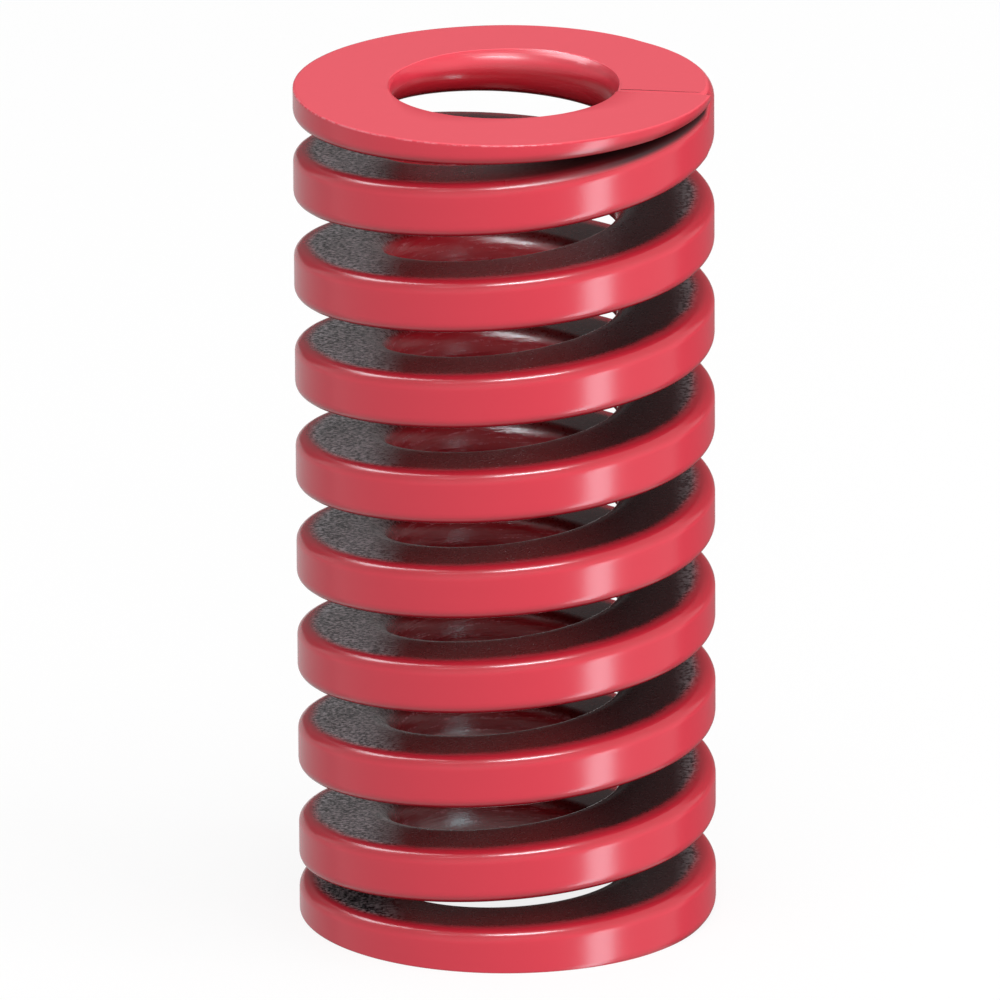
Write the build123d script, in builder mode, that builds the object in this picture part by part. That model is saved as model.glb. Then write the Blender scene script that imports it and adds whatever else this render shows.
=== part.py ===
from build123d import *
from math import cos, pi, sin
import os

os.makedirs("parts", exist_ok=True)

# Driving dimensions, in mm. The spring stands on its ground bottom end at Z = 0, with its axis along +Z.
free_length = 50.0
outer_dia = 24.3
inner_dia = 13.0
wire_height = 3.15
corner_break = 0.4

# The coil law, in turns. It is wound right-handed, with the active coils evenly pitched and each end
# closing down until its tip rests on the coil next to it. The coil under the top tip also rises a
# little to meet it.
active_pitch = 5.746
active_turns = 7.85
bottom_closing_turns = 0.81
top_closing_turns = 1.03
closing_blend = 0.2
top_lift = 0.45
top_lift_turns = 0.25
tip_gap = 0.06
bottom_tip_angle = 101.0
bottom_grind = 1.604

# Sizes that follow from them. The rolled bar starts wider than the finished wire, for turning.
wire_width = (outer_dia - inner_dia) / 2
mean_radius = (outer_dia + inner_dia) / 4
turning_stock = 0.5
closing_drop = active_pitch - wire_height - tip_gap
total_turns = bottom_closing_turns + active_turns + top_closing_turns
sections_per_turn = 15


def closing_fall(turns, closing_turns):
    """Height lost to closing, this many turns past the last active coil."""
    rate = closing_drop / (closing_turns - closing_blend / 2)
    if turns <= 0:
        return 0.0
    if turns < closing_blend:
        return rate * turns**2 / (2 * closing_blend)
    return rate * (turns - closing_blend / 2)


def lift(turn):
    """Height gained by the coil that runs under the top tip, and kept from there up."""
    share = min(max((turn - total_turns + 1) / top_lift_turns + 0.9, 0.0), 1.0)
    return top_lift * share**2 * (3 - 2 * share)


def underside(turn):
    """Height of the unground wire's underside, this many turns up from the bottom tip."""
    below = closing_fall(bottom_closing_turns - turn, bottom_closing_turns)
    above = closing_fall(turn - bottom_closing_turns - active_turns, top_closing_turns)
    return active_pitch * turn - closing_drop - bottom_grind + below - above + lift(turn)


def section_plane(turn):
    """Axial plane across the wire, with X pointing outwards and Y up."""
    angle = 2 * pi * turn + bottom_tip_angle * pi / 180
    outward = Vector(cos(angle), sin(angle), 0)
    middle = outward * mean_radius + Vector(0, 0, underside(turn) + wire_height / 2)
    return Plane(origin=middle, x_dir=outward, z_dir=(-sin(angle), cos(angle), 0))


with BuildPart() as die_spring:
    # Rectangular wire, lofted through axial sections along the coil law
    section_count = round(total_turns * sections_per_turn)
    for step in range(section_count + 1):
        with BuildSketch(section_plane(total_turns * step / section_count)):
            Rectangle(wire_width + 2 * turning_stock, wire_height)
    loft()

    # Outside and bore turned to true cylinders
    with BuildSketch(Plane.XY.offset(-wire_height)):
        Circle(outer_dia / 2)
        Circle(inner_dia / 2, mode=Mode.SUBTRACT)
    extrude(amount=free_length + 2 * wire_height, mode=Mode.INTERSECT)

    # The wire's four long corners
    wire_corners = die_spring.edges().filter_by(lambda edge: edge.length > 2 * wire_width)
    chamfer(wire_corners, corner_break)

    # Both ends ground flat and square to the axis
    with BuildSketch(Plane.XY):
        Circle(outer_dia)
    extrude(amount=free_length, mode=Mode.INTERSECT)

die_spring.part.label = "die_spring"
export_step(die_spring.part, "parts/die_spring.step")
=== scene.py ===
import math

import bmesh
import bpy
from mathutils import Matrix, Vector


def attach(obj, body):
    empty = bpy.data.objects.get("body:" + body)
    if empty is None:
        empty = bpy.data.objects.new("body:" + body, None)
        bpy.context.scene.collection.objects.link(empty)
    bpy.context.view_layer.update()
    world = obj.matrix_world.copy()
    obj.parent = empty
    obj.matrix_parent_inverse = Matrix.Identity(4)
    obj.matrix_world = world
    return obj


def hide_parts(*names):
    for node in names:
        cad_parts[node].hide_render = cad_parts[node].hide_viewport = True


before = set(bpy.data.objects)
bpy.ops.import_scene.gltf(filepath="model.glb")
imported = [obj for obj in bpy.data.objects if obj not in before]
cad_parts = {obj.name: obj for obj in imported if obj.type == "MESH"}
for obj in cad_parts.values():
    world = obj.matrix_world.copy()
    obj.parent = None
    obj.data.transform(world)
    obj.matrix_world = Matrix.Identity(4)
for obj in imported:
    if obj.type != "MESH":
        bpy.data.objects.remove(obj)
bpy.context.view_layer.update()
print("frame loaded")


# shader building: one wrapper for values, one for a node tree

class Signal:
    # a shader value, so that masks can be written as plain sums and products
    def __init__(self, tree, socket):
        self.tree = tree
        self.socket = socket

    def out(self, name):
        return Signal(self.tree, self.socket.node.outputs[name])

    def math(self, operation, first, second=0.0):
        return self.tree.node("ShaderNodeMath", {0: first, 1: second}, operation=operation)

    def __add__(self, other):
        return self.math("ADD", self, other)

    def __sub__(self, other):
        return self.math("SUBTRACT", self, other)

    def __mul__(self, other):
        return self.math("MULTIPLY", self, other)

    def __rsub__(self, other):
        return self.math("SUBTRACT", other, self)

    __radd__ = __add__

    def root(self):
        return self.math("SQRT", self)

    def atLeast(self, other):
        return self.math("MAXIMUM", self, other)

    def between(self, limits, base=0.0):
        # 0 up to the first limit and 1 from the second, smooth in between; the limits
        # are counted from base, and the second may be the lower one
        zero, one = base + limits[0], base + limits[1]
        ramp = self.tree.node("ShaderNodeMapRange", {
            "Value": self, "From Min": min(zero, one), "From Max": max(zero, one)},
            interpolation_type="SMOOTHSTEP")
        return ramp if zero < one else 1 - ramp


class Nodes:
    # the node tree of a material or world, emptied
    def __init__(self, owner):
        owner.use_nodes = True
        self.tree = owner.node_tree
        self.tree.nodes.clear()

    def node(self, kind, sockets=None, **settings):
        made = self.tree.nodes.new(kind)
        for name, value in settings.items():
            setattr(made, name, value)
        for name, value in (sockets or {}).items():
            if isinstance(value, Signal):
                self.tree.links.new(value.socket, made.inputs[name])
            else:
                made.inputs[name].default_value = value
        return Signal(self, made.outputs[0]) if made.outputs else None

    def blend(self, mask, first, second):
        # colour mix: first where the mask is 0, second where it is 1; the node's
        # colours are its inputs 6 and 7 and its output 2
        mixed = self.node("ShaderNodeMix", {0: mask, 6: first, 7: second}, data_type="RGBA")
        return mixed.out(2)

    def grain(self, coordinates, scale, detail, roughness=0.5):
        return self.node("ShaderNodeTexNoise", {
            "Vector": coordinates, "Scale": scale, "Detail": detail, "Roughness": roughness})

    def stretch(self, coordinates, factors):
        return self.node("ShaderNodeVectorMath", {0: coordinates, 1: factors},
                         operation="MULTIPLY")

    def seenDirectly(self):
        # 1 for rays that show a thing, itself or mirrored, 0 for those that carry its light
        path = self.node("ShaderNodeLightPath")
        seen = path.out("Is Camera Ray").atLeast(path.out("Is Glossy Ray"))
        return seen.atLeast(path.out("Is Transmission Ray"))


def tint(red, green, blue):
    # display colour, 0 to 255, as the linear colour that the sockets take
    def linear(part):
        part = part / 255
        return part / 12.92 if part <= 0.04045 else ((part + 0.055) / 1.055) ** 2.4
    return (linear(red), linear(green), linear(blue), 1.0)


def grey(level):
    return (level, level, level, 1)


def addItem(name, data):
    item = bpy.data.objects.new(name, data)
    bpy.context.scene.collection.objects.link(item)
    return item


def meshItem(name, bm):
    mesh = bpy.data.meshes.new(name)
    bm.to_mesh(mesh)
    bm.free()
    return addItem(name, mesh)


# the wound wire, in mm; a turn is one lap round the axis, counted from the bottom tip

coil = {
    "freeLength": 50.0,
    "outerDia": 24.3,
    "innerDia": 13.0,
    "wireHeight": 3.15,
    "outerCorner": 0.7,       # corner radii of the drawn wire, rounder towards the bore
    "innerCorner": 1.45,
    "outerCornerSteps": 6,
    "innerCornerSteps": 9,
    "leastFlat": 1.0,         # a side of the section that is longer than this is shaded flat
    "flatEdge": 0.12,         # distance of its outermost points from its ends
    "pitch": 5.746,
    "activeTurns": 7.85,
    "bottomClosing": 0.81,    # turns over which the bottom end closes
    "topClosing": 1.03,
    "closingBlend": 0.2,
    "topLift": 0.45,          # rise of the coil under the top tip
    "topLiftTurns": 0.25,
    "topLiftLead": 0.9,       # share of that rise's turns that come before the tip
    "tipGap": 0.06,
    "tipFill": 0.622,         # enamel that fills the step past the top tip
    "tipFillTurns": 0.16,
    "tipFillStart": -0.025,   # in shares of its turns, so that the section at the tip counts
    "tipBlendTurns": 0.26,    # over which the bore corner grows round again past the tip
    "tipBlendStart": -0.02,
    "tipBlendShare": 0.85,    # how square that corner is at the tip
    "sharpenFrom": 0.4,       # turns before the wire's end at which its lower corners sharpen
    "sharpenTurns": 0.3,
    "outerSharpen": 0.8,      # share of that which the outer corner gets
    "cornerSlack": 0.01,      # a point this far off a corner's arc still belongs to it
    "lipDrop": 0.6,           # share of the ground depth by which the bore corner lies lower
    "lipEnds": (0.34, 0.52),  # turns past the tip over which it is ground away again
    "tipAngle": 101.0,        # where the bottom tip lies, in degrees
    "bottomGrind": 1.604,     # depth of wire taken off the bottom end
    "lengths": 8,             # the coil is wound in this many equal lengths, joined end to end
    "stepsPerLength": 175,
    "joinWithin": 0.002,
    "outerRim": 0.1,          # edge broken round the ground faces
    "innerRim": 0.3,
    "rimLoops": (1.0, 0.7, 0.4, 0.2, 0.08),   # their depths, in inner rims
    "sliceSnap": 1e-4,
    "levelNormal": 0.9999,    # a face whose normal is this upright is a ground one
    "creaseAngle": 32,        # edges sharper than this, in degrees, are shaded sharp
}


def clamped(share):
    return min(max(share, 0.0), 1.0)


def eased(share):
    # soft start and end
    share = clamped(share)
    return share * share * (3 - 2 * share)


def totalTurns():
    return coil["bottomClosing"] + coil["activeTurns"] + coil["topClosing"]


def pastTip(turn):
    # turns past the point that the top tip lies over
    return turn - totalTurns() + 1


def middleReach():
    # radius of the wire's middle line
    return (coil["outerDia"] + coil["innerDia"]) / 4


def closingDrop():
    # room between two open coils that closing takes up
    return coil["pitch"] - coil["wireHeight"] - coil["tipGap"]


def closingFall(turns, closingTurns):
    # height lost to closing, this many turns past the last open coil
    blend = coil["closingBlend"]
    rate = closingDrop() / (closingTurns - blend / 2)
    if turns <= 0:
        return 0.0
    if turns < blend:
        return rate * turns * turns / (2 * blend)
    return rate * (turns - blend / 2)


def lift(turn):
    # height gained by the coil that runs under the top tip, and kept from there up
    return coil["topLift"] * eased(pastTip(turn) / coil["topLiftTurns"] + coil["topLiftLead"])


def underside(turn):
    # height of the wire's underside before grinding
    below = closingFall(coil["bottomClosing"] - turn, coil["bottomClosing"])
    above = closingFall(turn - coil["bottomClosing"] - coil["activeTurns"], coil["topClosing"])
    start = closingDrop() + coil["bottomGrind"]
    return coil["pitch"] * turn - start + below - above + lift(turn)


def wireSection(bm):
    # one rounded section, standing across the wire at the bottom tip, as bare edges
    width = (coil["outerDia"] - coil["innerDia"]) / 2
    bmesh.ops.create_grid(bm, x_segments=1, y_segments=1, size=0.5)
    bmesh.ops.scale(bm, vec=(width, coil["wireHeight"], 1), verts=bm.verts)
    outerCorners = [v for v in bm.verts if v.co.x > 0]
    innerCorners = [v for v in bm.verts if v.co.x < 0]
    for corners, side in ((outerCorners, "outerCorner"), (innerCorners, "innerCorner")):
        bmesh.ops.bevel(bm, geom=corners, offset=coil[side], offset_type="OFFSET",
                        segments=coil[side + "Steps"], profile=0.5, affect="VERTICES",
                        material=-1)
    bmesh.ops.delete(bm, geom=bm.faces[:], context="FACES_ONLY")
    for edge in [e for e in bm.edges if e.calc_length() > coil["leastFlat"]]:
        # a point close to each end of a flat keeps its shading flat
        near = coil["flatEdge"] / edge.calc_length()
        point = bmesh.utils.edge_split(edge, edge.verts[0], near)[1]
        rest = max(point.link_edges, key=lambda e: e.calc_length())
        bmesh.utils.edge_split(rest, point, 1 - coil["flatEdge"] / rest.calc_length())
    bmesh.ops.rotate(bm, cent=(0, 0, 0), matrix=Matrix.Rotation(math.radians(90), 3, "X"),
                     verts=bm.verts)
    bmesh.ops.translate(bm, vec=(middleReach(), 0, coil["wireHeight"] / 2), verts=bm.verts)


def tipFill(turn):
    # enamel makes up the step between the top tip and the coil just past it
    past = pastTip(turn) / coil["tipFillTurns"]
    return coil["tipFill"] * clamped(1 - past) if past > coil["tipFillStart"] else 0.0


def squareCorner(vert, depth, share, wall, way, radius):
    # draws a rounded corner out to its wall, depth being measured along the wall
    reach = vert.co.xy.length
    if share > 0 and depth < radius:
        inset = radius - math.sqrt(max(radius * radius - (radius - depth) ** 2, 0.0))
        if (reach - wall) * way < inset + coil["cornerSlack"]:
            vert.co.xy *= (reach - way * inset * share) / reach


def squareTip(vert, up, turn):
    # the lower corners sharpen towards the top tip, the upper bore corner is filled just past it
    bore, outer = coil["innerDia"] / 2, coil["outerDia"] / 2
    sharp = clamped((turn - totalTurns() + coil["sharpenFrom"]) / coil["sharpenTurns"])
    squareCorner(vert, up, sharp, bore, 1, coil["innerCorner"])
    squareCorner(vert, up, coil["outerSharpen"] * sharp, outer, -1, coil["outerCorner"])
    past = pastTip(turn) / coil["tipBlendTurns"]
    if past > coil["tipBlendStart"]:
        squareCorner(vert, coil["wireHeight"] - up, coil["tipBlendShare"] * eased(1 - past),
                     bore, 1, coil["innerCorner"])


def lipDrop(turn, up, reach):
    # past the top tip the bore side lies lower, so its corner stays round under the ground face
    past = pastTip(turn)
    if past < 0 or reach > middleReach():
        return 0.0
    start, end = coil["lipEnds"]
    share = clamped((end - past) / (end - start))
    share *= min(up / (coil["wireHeight"] - coil["innerCorner"]), 1.0)
    over = underside(turn) + coil["wireHeight"] - coil["freeLength"]
    return coil["lipDrop"] * max(over, 0.0) * share


def windHelix(bm, upWire):
    # an even helix, wound once and copied, each copy joined to the last
    turns = totalTurns() / coil["lengths"]
    for vert in bm.verts:
        vert[upWire] = vert.co.z
    bmesh.ops.rotate(bm, cent=(0, 0, 0), verts=bm.verts,
                     matrix=Matrix.Rotation(math.radians(coil["tipAngle"]), 3, "Z"))
    bmesh.ops.spin(bm, geom=bm.verts[:] + bm.edges[:], cent=(0, 0, 0), axis=(0, 0, 1),
                   dvec=(0, 0, coil["pitch"] * turns / coil["stepsPerLength"]),
                   angle=2 * math.pi * turns, steps=coil["stepsPerLength"],
                   use_merge=False, use_normal_flip=False, use_duplicate=False)
    firstLength = bm.verts[:] + bm.edges[:] + bm.faces[:]
    for number in range(1, coil["lengths"]):
        copied = bmesh.ops.duplicate(bm, geom=firstLength)["geom"]
        points = [part for part in copied if isinstance(part, bmesh.types.BMVert)]
        bmesh.ops.rotate(bm, cent=(0, 0, 0), verts=points,
                         matrix=Matrix.Rotation(2 * math.pi * turns * number, 3, "Z"))
        bmesh.ops.translate(bm, vec=(0, 0, coil["pitch"] * turns * number), verts=points)
    bmesh.ops.remove_doubles(bm, verts=bm.verts, dist=coil["joinWithin"])


def windWire(bm):
    # the helix with its ends closed down; its layers say where on the wire a point lies
    upWire = bm.verts.layers.float.new("upWire")
    alongWire = bm.verts.layers.float.new("alongWire")
    windHelix(bm, upWire)
    for vert in bm.verts:
        up = vert[upWire]
        turn = (vert.co.z - up) / coil["pitch"]
        vert[alongWire] = turn
        squareTip(vert, up, turn)
        vert.co.z = underside(turn) + up * (1 + tipFill(turn) / coil["wireHeight"])
        vert.co.z -= lipDrop(turn, up, vert.co.xy.length)
    bmesh.ops.holes_fill(bm, edges=[e for e in bm.edges if e.is_boundary], sides=0)
    bmesh.ops.recalc_face_normals(bm, faces=bm.faces)


def slicePlane(bm, height, way=1, clear=False):
    geometry = bm.verts[:] + bm.edges[:] + bm.faces[:]
    return bmesh.ops.bisect_plane(bm, geom=geometry, dist=coil["sliceSnap"],
                                  plane_co=(0, 0, height), plane_no=(0, 0, way),
                                  clear_outer=clear)["geom_cut"]


def grindEnd(bm, height, way):
    # cut flat, with enough loops round the new face to round its rims over
    for depth in coil["rimLoops"]:
        slicePlane(bm, height - way * depth * coil["innerRim"])
    cut = slicePlane(bm, height, way, True)
    rim = [part for part in cut if isinstance(part, bmesh.types.BMEdge) and part.is_boundary]
    face = bmesh.ops.holes_fill(bm, edges=rim, sides=0)["faces"]
    bmesh.ops.inset_region(bm, faces=face, thickness=coil["innerRim"] / 2, use_boundary=True)
    for vert in bm.verts:
        roundRim(vert, height, way)


def roundRim(vert, height, way):
    # a point in the sharp corner is drawn in to the rim's radius
    reach = vert.co.xy.length
    for wall, inward, radius in ((coil["innerDia"] / 2, 1, coil["innerRim"]),
                                 (coil["outerDia"] / 2, -1, coil["outerRim"])):
        across = (wall + inward * radius - reach) * inward
        above = (vert.co.z - height) * way + radius
        if across > 0 and above > 0 and math.hypot(across, above) > radius:
            scale = radius / math.hypot(across, above)
            vert.co.xy *= (wall + inward * radius - inward * across * scale) / reach
            vert.co.z = height + way * (above * scale - radius)


def makeSpring():
    bm = bmesh.new()
    wireSection(bm)
    windWire(bm)
    grindEnd(bm, 0.0, -1)
    grindEnd(bm, coil["freeLength"], 1)
    print("open edges", len([e for e in bm.edges if len(e.link_faces) != 2]))
    bmesh.ops.recalc_face_normals(bm, faces=bm.faces)
    for face in bm.faces:
        face.smooth = abs(face.normal.z) < coil["levelNormal"]   # the ground faces stay flat
    for edge in bm.edges:
        edge.smooth = edge.calc_face_angle(0) < math.radians(coil["creaseAngle"])
    bmesh.ops.scale(bm, vec=(0.001, 0.001, 0.001), verts=bm.verts)   # mm to metres
    return meshItem("spring", bm)


spring = makeSpring()
print("spring wound,", len(spring.data.polygons), "faces")


# enamel over spring steel

enamel = {
    "outside": tint(208, 48, 66),
    # lighter copy of the outside enamel for the ends: painted light from above
    "ground": tint(236, 83, 97),
    # darker copy for the wire's outer corners: painted shade
    "cornerShade": tint(150, 20, 32),
    # pale pink of painted highlights in the bore
    "streakHighlight": tint(206, 120, 130),
    # bore reds: painted shade, darkest low down, lighter towards the open top
    "bore": tint(120, 10, 18),
    "boreTopShade": tint(168, 27, 39),
    # spray-dusted red and near-black on the flats: painted shade between the coils
    "oversprayShade": tint(100, 8, 12),
    "shaded": tint(46, 6, 9),
    "steel": tint(230, 218, 222),
    "steelDark": tint(66, 55, 59),
    # pale rim: paint wear and a painted highlight
    "wornHighlight": tint(224, 110, 122),
    "gloss": 0.22,                    # roughness of the enamel
    "bare": 0.3,                      # roughness of the flats between the coils
    "bareGrain": 0.3,                 # how far the grain changes it
    "tipShadowRoughness": 0.5,           # added under the tip and on the lip of the bore
    "lipRoughness": 0.1,
    "metal": 0.8,
    "refraction": 1.5,
    "bump": 0.35,
    "bumpDepth": 0.001,
    "peelDepth": 0.012,               # depths of the relief, before the bump's own strength
    "bareDepth": 0.03,
    "drawnDepth": 0.1,
    "drawnGrain": 0.03,
    # grains: scale, detail and, where it is not the usual one, roughness
    "fine": (4.2, 3.0, 0.65),
    "coarse": (0.45, 3.0),
    "streaks": (1.0, 4.0, 0.65),
    "wear": (2.6, 3.0),
    "peel": (1.1, 2.0),
    "drawing": (0.45, 0.45, 6.0),     # draws the streaks out along the wire
    # masks: where one is 0 and where it is 1, in mm across the spring
    "dustedShadeSide": (-8.5, -5.6),
    "sprayedSide": (-9, 5),
    "shadedSide": (1, 7),
    "sheenSide": (9.5, 11.5),
    "wornHighlightSide": (5, 1),
    # in mm from the outer side or from the bore
    "sprayEdge": (-1.3, -0.55),
    "ragged": 0.5,                    # width over which each grain moves that edge
    "sprayShift": 0.2,                # and how much further in it lies on the sprayed side
    "rimReach": (-0.12, -0.05),
    "boreReach": (0.7, 0.25),
    "lipReach": (2.2, 1.8),
    # in mm from the top or the bottom of the spring
    "topFace": (-0.04, -0.02),
    "bottomFace": (0.04, 0.02),
    "lipHeight": (-1.3, -0.5),
    "rimHeight": (-0.12, -0.05),
    "belowFace": (-0.02, -0.1),
    "belowRim": (-0.1, -0.6),
    "drawnHeight": (-1, -2),
    "glintHeight": (48, 46),
    "boreShadeFade": (12, 40),
    # in mm from the upper or the lower flat of the wire
    "upperFlat": (-0.15, -0.05),
    "lowerFlat": (0.15, 0.05),
    "tipShadowFlat": (-0.4, -0.15),
    # where the painted shade over the corners lies
    "upperShade": (-0.66, -0.25),
    "lowerShade": (0.62, 0.12),
    # in turns from the wire's upper or lower end
    "lastLap": (-1.006, -1.001),
    "firstLap": (1.07, 1.04),
    "tipShadowStart": (-1.25, -1.1),
    "tipShadowEnd": (-0.985, -1.0),
    # in the strength of a grain
    "speckle": (0.42, 0.62),
    "streakGrain": (0.54, 0.66),
    "glintGrain": (0.42, 0.58),
    "wornGrain": (0.42, 0.62),
    # how much of a mask's colour is laid on
    "sheenShare": 0.4,
    "glintShare": 0.45,
    "upperShadeShare": 0.55,
    "lowerShadeShare": 0.85,
}


class Finish:
    # shader values over the wire: where a point lies, and what covers it there
    def __init__(self, nodes):
        self.nodes = nodes
        position = nodes.node("ShaderNodeTexCoord").out("Object")
        self.place = nodes.stretch(position, (1000, 1000, 1000))   # metres to mm
        parts = nodes.node("ShaderNodeSeparateXYZ", {0: self.place})
        y = parts.out("Y")
        self.x, self.z = parts.out("X"), parts.out("Z")
        self.reach = (self.x * self.x + y * y).root()
        self.up = nodes.node("ShaderNodeAttribute", attribute_name="upWire").out("Fac")
        self.along = nodes.node("ShaderNodeAttribute", attribute_name="alongWire").out("Fac")
        self.fine = nodes.grain(self.place, *enamel["fine"])
        drawn = nodes.stretch(self.place, enamel["drawing"])
        self.streaks = nodes.grain(drawn, *enamel["streaks"])
        self.ground = self.groundEnds()
        self.bore = self.inRange(self.reach, "boreReach", coil["innerDia"] / 2)
        lipReach = self.inRange(self.reach, "lipReach", coil["innerDia"] / 2)
        self.lip = self.fromTop("lipHeight") * lipReach
        self.dustedShade = self.inRange(self.x, "dustedShadeSide")
        self.tipShadow = self.underTip()
        self.covered = self.sprayed().atLeast(self.lip)
        self.bare = 1 - self.covered.atLeast(self.ground).atLeast(self.bore)

    def inRange(self, value, name, base=0.0):
        return value.between(enamel[name], base)

    def fromTop(self, name):
        return self.inRange(self.z, name, coil["freeLength"])

    def groundEnds(self):
        # the whole of each end's outer side is enamelled, ground or not
        upper = self.inRange(self.up, "upperFlat", coil["wireHeight"])
        lower = self.inRange(self.up, "lowerFlat")
        lastLap = self.inRange(self.along, "lastLap", totalTurns())
        firstLap = self.inRange(self.along, "firstLap")
        top = lastLap * self.fromTop("topFace").atLeast(upper)
        return top.atLeast(firstLap * self.inRange(self.z, "bottomFace").atLeast(lower))

    def sprayed(self):
        # the spray reached further in over the flats on one side of the spring
        coarse = self.nodes.grain(self.place, *enamel["coarse"])
        # a grain's strength lies about a half
        ragged = (self.fine - 0.5 + coarse - 0.5) * enamel["ragged"]
        further = self.inRange(self.x, "sprayedSide") * enamel["sprayShift"]
        return self.inRange(self.reach + ragged + further, "sprayEdge", coil["outerDia"] / 2)

    def underTip(self):
        # painted shadow under the overlapping tip
        start = self.inRange(self.along, "tipShadowStart", totalTurns())
        end = self.inRange(self.along, "tipShadowEnd", totalTurns())
        flat = self.inRange(self.up, "tipShadowFlat", coil["wireHeight"])
        return start * end * flat * (1 - self.ground)

    def flats(self):
        # bare speckled steel on one side; towards the other, sprayed red darkened by painted shade
        # between the coils, with a grey painted sheen at the far end
        blend = self.nodes.blend
        speckle = self.inRange(self.fine, "speckle")
        steel = blend(speckle, enamel["steelDark"], enamel["steel"])
        shaded = self.inRange(self.x, "shadedSide")
        dustedShade = blend(shaded, enamel["oversprayShade"], enamel["shaded"])
        # a grey painted sheen near the far end of the flats
        sheen = self.inRange(self.x, "sheenSide") * enamel["sheenShare"]
        return blend(self.dustedShade, steel, blend(sheen, dustedShade, steel))

    def inside(self):
        # darker red as painted shade, deepest low in the bore and less of it towards the open top,
        # with pale painted highlights along the draw marks of the wire
        blend = self.nodes.blend
        red = blend(self.inRange(self.z, "boreShadeFade"), enamel["bore"], enamel["boreTopShade"])
        # pale specks where the draw marks and the grain peak: painted highlights
        glints = self.inRange(self.streaks, "streakGrain") * self.inRange(self.fine, "glintGrain")
        glints = glints * self.inRange(self.z, "glintHeight") * enamel["glintShare"]
        return blend(glints, red, enamel["streakHighlight"])

    def coatAndCornerShade(self):
        # the outside enamel, darker over the outer corners of the wire: painted shade where the
        # corners face into the gaps between coils
        upper = self.inRange(self.up, "upperShade", coil["wireHeight"])
        lower = self.inRange(self.up, "lowerShade")
        paintedShade = (upper * enamel["upperShadeShare"]).atLeast(lower * enamel["lowerShadeShare"])
        return self.nodes.blend(paintedShade * self.fromTop("belowRim"), enamel["outside"],
                                enamel["cornerShade"])

    def colour(self):
        blend = self.nodes.blend
        colour = blend(self.bore, self.flats(), self.inside())
        colour = blend(self.covered, colour, self.coatAndCornerShade())
        # painted shadow under the top tip
        colour = blend(self.tipShadow, colour, enamel["shaded"])
        # the ends get the lighter copy: painted light from above
        colour = blend(self.ground, colour, enamel["ground"])
        # on one side, the top face's outer edge: paint wear with a painted highlight
        rim = self.inRange(self.reach, "rimReach", coil["outerDia"] / 2)
        wear = self.nodes.grain(self.place, *enamel["wear"])
        wornHighlight = self.inRange(wear, "wornGrain") * self.inRange(self.x, "wornHighlightSide")
        return blend(rim * self.fromTop("rimHeight") * wornHighlight, colour, enamel["wornHighlight"])

    def roughness(self):
        bare = enamel["bare"] - enamel["gloss"] + (self.fine - 0.5) * enamel["bareGrain"]
        tipShadow = self.tipShadow * enamel["tipShadowRoughness"]
        lip = self.lip * self.fromTop("belowFace") * enamel["lipRoughness"]
        return enamel["gloss"] + self.bare * bare + tipShadow + lip

    def relief(self):
        peel = self.nodes.grain(self.place, *enamel["peel"]) * enamel["peelDepth"]
        marks = self.streaks * enamel["drawnDepth"] + self.fine * enamel["drawnGrain"]
        drawn = self.bore * self.fromTop("drawnHeight") * marks
        height = peel + self.fine * self.bare * enamel["bareDepth"] + drawn
        return self.nodes.node("ShaderNodeBump", {
            "Strength": enamel["bump"], "Distance": enamel["bumpDepth"], "Height": height})


def enamelFinish():
    material = bpy.data.materials.new("enamelledWire")
    nodes = Nodes(material)
    finish = Finish(nodes)
    surface = nodes.node("ShaderNodeBsdfPrincipled", {
        "Base Color": finish.colour(), "Roughness": finish.roughness(),
        "Metallic": finish.bare * (1 - finish.dustedShade) * enamel["metal"],
        "IOR": enamel["refraction"], "Normal": finish.relief()})
    nodes.node("ShaderNodeOutputMaterial", {"Surface": surface})
    return material


spring.data.materials.append(enamelFinish())
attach(spring, "root")
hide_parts("die_spring")
print("enamel on")


# studio: pale floor, soft lamps, long lens

studio = {
    "floorSize": 3.0,
    "floorSeen": 0.9,
    "floorLit": 0.14,         # it sends little light back up, so the undersides stay dark
    "floorWhite": 0.85,       # share of plain white in what is seen of it
    "surround": 0.38,         # strength of the light from all round
    # azimuth, elevation and distance, as place() takes them, then width, height and power,
    # in m and W, or for a card its strength
    "colourLamps": {          # these light the enamel's colour
        "key": (10, 26, 0.9, 0.6, 0.4, 2.3),
        "side": (62, 20, 0.9, 0.7, 0.9, 5.2),
        "farSide": (92, 20, 0.9, 0.5, 0.8, 1.8),
        "fill": (-25, 16, 0.9, 0.9, 0.7, 3.2),
        "overhead": (0, 88, 0.9, 0.9, 0.9, 3.7),
    },
    "glossLamps": {           # these only show in its gloss
        "strip": (52, -24, 0.5, 0.13, 0.42, 1.3),
        "line": (8, 64, 0.9, 0.4, 0.06, 7.0),
        "upperLeft": (-50, 50, 0.9, 0.15, 0.12, 0.22),
        "behind": (-128, 56, 0.9, 0.5, 0.5, 8.0),
    },
    "glossTint": (0.8, 0.95, 1.0),
    "stripTint": (0.55, 0.93, 1.0),
    "cards": {
        "backCard": (180, 22, 0.6, 1.4, 0.6, 0.2),
        "lowRightCard": (140, -20, 0.6, 0.7, 0.5, 0.25),
        "lowLeftCard": (-140, -20, 0.6, 0.7, 0.5, 0.65),
    },
}

view = {
    "target": 0.0243,         # height looked at, on the axis, in m
    "elevation": 17.878,
    "distance": 1.1479,
    "left": 0.000328,         # small shifts of the whole view
    "up": 0.000534,
    "roll": -0.325,
    "lens": 712.6,
    "sensor": 36,
    "nearClip": 0.1,
    "farClip": 20,
}


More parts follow.
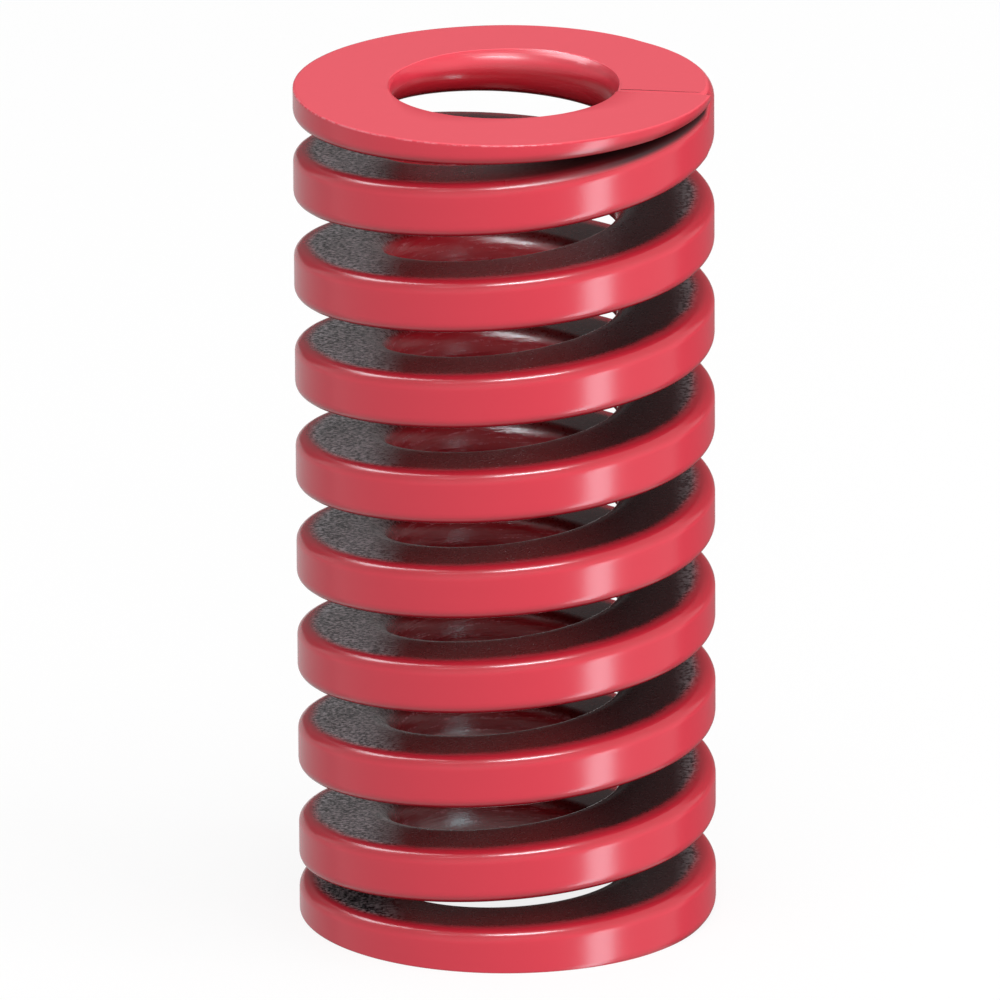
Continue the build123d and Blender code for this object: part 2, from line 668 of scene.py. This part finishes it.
def makeFloor():
    bm = bmesh.new()
    bmesh.ops.create_grid(bm, x_segments=1, y_segments=1, size=studio["floorSize"] / 2)
    floor = meshItem("floor", bm)
    material = bpy.data.materials.new("paleFloor")
    nodes = Nodes(material)
    seen = nodes.seenDirectly()
    colour = nodes.blend(seen, grey(studio["floorLit"]), grey(studio["floorSeen"]))
    lit = nodes.node("ShaderNodeBsdfDiffuse", {"Color": colour})
    white = nodes.node("ShaderNodeEmission", {"Color": grey(1), "Strength": 1.0})
    both = nodes.node("ShaderNodeMixShader", {0: seen * studio["floorWhite"], 1: lit, 2: white})
    nodes.node("ShaderNodeOutputMaterial", {"Surface": both})
    floor.data.materials.append(material)
    # the strip lamp reaches below the floor and shines through it
    floor.visible_shadow = False
    floor.visible_glossy = False


def place(item, azimuth, elevation, distance):
    # facing the spring; the angles are in degrees, and azimuth 0 is the camera's side
    # and grows to the right
    turned, raised = math.radians(azimuth), math.radians(elevation)
    way = Vector((math.sin(turned) * math.cos(raised), -math.cos(turned) * math.cos(raised),
                  math.sin(raised)))
    item.location = Vector((0, 0, coil["freeLength"] / 2000)) + way * distance   # mid-height
    item.rotation_mode = "QUATERNION"
    item.rotation_quaternion = way.to_track_quat("Z", "Y")


def makeCard(name, azimuth, elevation, distance, width, height, strength):
    # a plain card that only shows in the gloss of the enamel
    bm = bmesh.new()
    bmesh.ops.create_grid(bm, x_segments=1, y_segments=1, size=0.5)
    bmesh.ops.scale(bm, vec=(width, height, 1), verts=bm.verts)
    card = meshItem(name, bm)
    place(card, azimuth, elevation, distance)
    material = bpy.data.materials.new(name)
    material.cycles.emission_sampling = "NONE"
    nodes = Nodes(material)
    glow = nodes.node("ShaderNodeEmission", {"Color": grey(1), "Strength": strength})
    nodes.node("ShaderNodeOutputMaterial", {"Surface": glow})
    card.data.materials.append(material)
    card.visible_camera = card.visible_diffuse = card.visible_shadow = False


def makeLamp(name, azimuth, elevation, distance, width, height, power):
    lamp = bpy.data.lights.new(name, "AREA")
    lamp.shape = "RECTANGLE"
    lamp.size, lamp.size_y = width, height
    lamp.energy = power
    item = addItem(name, lamp)
    place(item, azimuth, elevation, distance)
    item.visible_camera = False
    return item


def makeLights():
    for name, figures in studio["colourLamps"].items():
        makeLamp(name, *figures).visible_glossy = False
    for name, figures in studio["glossLamps"].items():
        lamp = makeLamp(name, *figures)
        lamp.visible_diffuse = False
        lamp.data.color = studio["stripTint" if name == "strip" else "glossTint"]
    for name, figures in studio["cards"].items():
        makeCard(name, *figures)


def makeWorld():
    world = bpy.data.worlds.new("studio")
    bpy.context.scene.world = world
    nodes = Nodes(world)
    strength = studio["surround"] + nodes.seenDirectly() * (1 - studio["surround"])
    light = nodes.node("ShaderNodeBackground", {"Color": grey(1), "Strength": strength})
    nodes.node("ShaderNodeOutputWorld", {"Surface": light})


def makeCamera():
    elevation = math.radians(view["elevation"])
    back = Vector((0, -math.cos(elevation), math.sin(elevation)))
    right, above = Vector((1, 0, 0)), Vector((0, math.sin(elevation), math.cos(elevation)))
    data = bpy.data.cameras.new("camera")
    data.lens, data.sensor_width = view["lens"], view["sensor"]
    data.clip_start, data.clip_end = view["nearClip"], view["farClip"]
    camera = addItem("camera", data)
    camera.location = (Vector((0, 0, view["target"])) + back * view["distance"]
                       - right * view["left"] + above * view["up"])
    camera.rotation_mode = "QUATERNION"
    roll = Matrix.Rotation(math.radians(view["roll"]), 3, back)
    turned = Matrix((right, above, back)).transposed()
    camera.rotation_quaternion = (roll @ turned).to_quaternion()
    bpy.context.scene.camera = camera


makeFloor()
makeWorld()
makeLights()
makeCamera()
bpy.context.scene.view_settings.view_transform = "Standard"
print("studio set")
